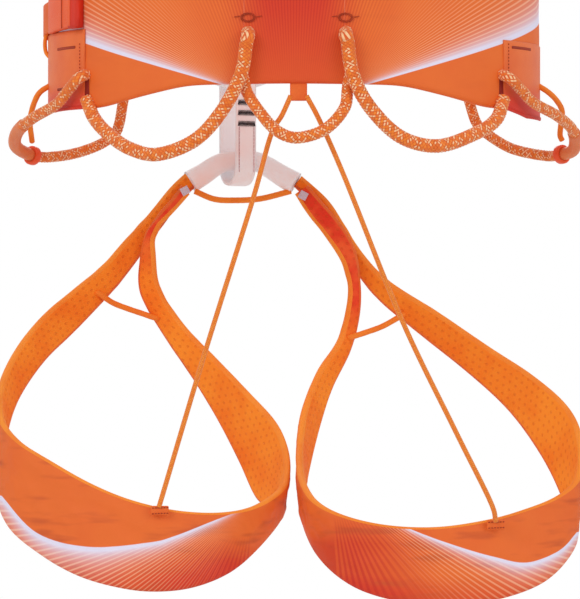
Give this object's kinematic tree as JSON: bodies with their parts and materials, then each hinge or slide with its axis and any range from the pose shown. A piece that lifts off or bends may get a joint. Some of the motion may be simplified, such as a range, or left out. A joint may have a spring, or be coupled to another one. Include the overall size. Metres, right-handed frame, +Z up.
{
  "type": "climbing harness",
  "caption": "Lightweight climbing saddle with a wide padded waist belt, two leg loops on cord risers, a belay loop and braided gear loops.",
  "frame": {"origin": "centre of the waist ring, at the middle of the belt's height at its back", "axes": "+Z up, +X towards the wearer's left, -Y towards the wearer's front where the belay loop is"},
  "size_m": [0.3619, 0.2382, 0.4059],
  "materials": {
    "orange_cloth": "printed ripstop",
    "lining_mesh": "perforated",
    "webbing": "woven",
    "white_webbing": "woven",
    "accessory_cord": "braided",
    "moulded_trim": "satin",
    "bar_tack": "dense stitching",
    "label": "smooth",
    "buckle_metal": "anodised"
  },
  "bodies": {
    "waist_belt": {"belt_shell": "orange_cloth", "belt_lining": "lining_mesh", "belt_load_tape": "webbing", "waist_strap": "webbing", "waist_strap_tail": "orange_cloth", "upper_tie_in": "webbing", "tool_patch_left": "orange_cloth", "tool_patch_right": "orange_cloth", "riser_tab": "orange_cloth", "leg_bridge_cord": "accessory_cord", "buckle_base_frame": "buckle_metal"},
    "belay_loop": {"belay_loop_webbing": "white_webbing", "belay_bar_tack_1": "bar_tack", "belay_bar_tack_2": "bar_tack", "belay_bar_tack_3": "bar_tack", "lower_tie_in_arch": "white_webbing"},
    "left_leg": {"left_leg_shell": "orange_cloth", "left_leg_load_tape": "webbing", "left_leg_lining": "lining_mesh", "left_riser_anchor": "orange_cloth", "left_riser_cord": "accessory_cord", "left_elastic_cord": "accessory_cord", "left_end_label": "label"},
    "right_leg": {"right_leg_shell": "orange_cloth", "right_leg_load_tape": "webbing", "right_leg_lining": "lining_mesh", "right_riser_anchor": "orange_cloth", "right_riser_cord": "accessory_cord", "right_elastic_cord": "accessory_cord", "right_end_label": "label"},
    "gear_front_left": {"gear_loop_front_left": "accessory_cord", "gear_sleeve_left": "accessory_cord"},
    "gear_front_right": {"gear_loop_front_right": "accessory_cord", "gear_sleeve_right": "accessory_cord"},
    "gear_rear_left": {"gear_loop_rear_left": "accessory_cord"},
    "gear_rear_right": {"gear_loop_rear_right": "accessory_cord"},
    "gear_rear_centre": {"gear_loop_rear_centre": "accessory_cord"},
    "separator_left": {"separator_ring_left": "moulded_trim", "separator_cord_left": "accessory_cord"},
    "separator_right": {"separator_ring_right": "moulded_trim", "separator_cord_right": "accessory_cord"},
    "buckle_front": {"buckle_front_frame": "buckle_metal"},
    "keeper": {"strap_keeper": "moulded_trim"}
  },
  "joints": [
    {"name": "belay_swing", "type": "hinge", "parent": "waist_belt", "child": "belay_loop", "pos_m": [0.0365, -0.1085, -0.036], "axis": [1, 0, 0], "range_deg": [-15, 5]},
    {"name": "left_leg_swing", "type": "hinge", "parent": "waist_belt", "child": "left_leg", "pos_m": [0.066, -0.105, -0.105], "axis": [1, 0, 0], "range_deg": [0, 25], "deforming": ["left_riser_cord"]},
    {"name": "right_leg_swing", "type": "hinge", "parent": "waist_belt", "child": "right_leg", "pos_m": [-0.003, -0.105, -0.106], "axis": [1, 0, 0], "range_deg": [0, 25], "deforming": ["right_riser_cord"]},
    {"name": "gear_front_left_swing", "type": "hinge", "parent": "waist_belt", "child": "gear_front_left", "pos_m": [0.1195, -0.0015, -0.06], "axis": [-0.1272, -0.9805, -0.1497], "range_deg": [0, 50]},
    {"name": "gear_front_right_swing", "type": "hinge", "parent": "waist_belt", "child": "gear_front_right", "pos_m": [-0.122, -0.0005, -0.06], "axis": [-0.0915, 0.984, 0.1526], "range_deg": [0, 50]},
    {"name": "gear_rear_left_swing", "type": "hinge", "parent": "waist_belt", "child": "gear_rear_left", "pos_m": [0.073, 0.0875, -0.0475], "axis": [0.8031, -0.3754, -0.4627], "range_deg": [0, 50]},
    {"name": "gear_rear_right_swing", "type": "hinge", "parent": "waist_belt", "child": "gear_rear_right", "pos_m": [-0.075, 0.089, -0.048], "axis": [0.8013, 0.3561, 0.4808], "range_deg": [0, 50]},
    {"name": "gear_rear_centre_swing", "type": "hinge", "parent": "waist_belt", "child": "gear_rear_centre", "pos_m": [-0.0015, 0.103, -0.06], "axis": [1, 0, 0], "range_deg": [0, 50]},
    {"name": "separator_left_slide", "type": "slide", "parent": "gear_front_left", "child": "separator_left", "axis": [-0.6204, -0.7651, -0.1721], "range_m": [-0.003, 0.003], "deforming": ["separator_cord_left"]},
    {"name": "separator_right_slide", "type": "slide", "parent": "gear_front_right", "child": "separator_right", "axis": [0.6301, -0.7697, -0.103], "range_m": [-0.003, 0.003], "deforming": ["separator_cord_right"]},
    {"name": "buckle_tilt", "type": "hinge", "parent": "waist_belt", "child": "buckle_front", "pos_m": [0.1069, -0.0817, -0.016], "axis": [0, 0, 1], "range_deg": [0, 30]},
    {"name": "keeper_shift", "type": "hinge", "parent": "waist_belt", "child": "keeper", "pos_m": [0.0603, -0.0061, -0.01], "axis": [0, 0, 1], "range_deg": [-2.5, 2.5]}
  ]
}
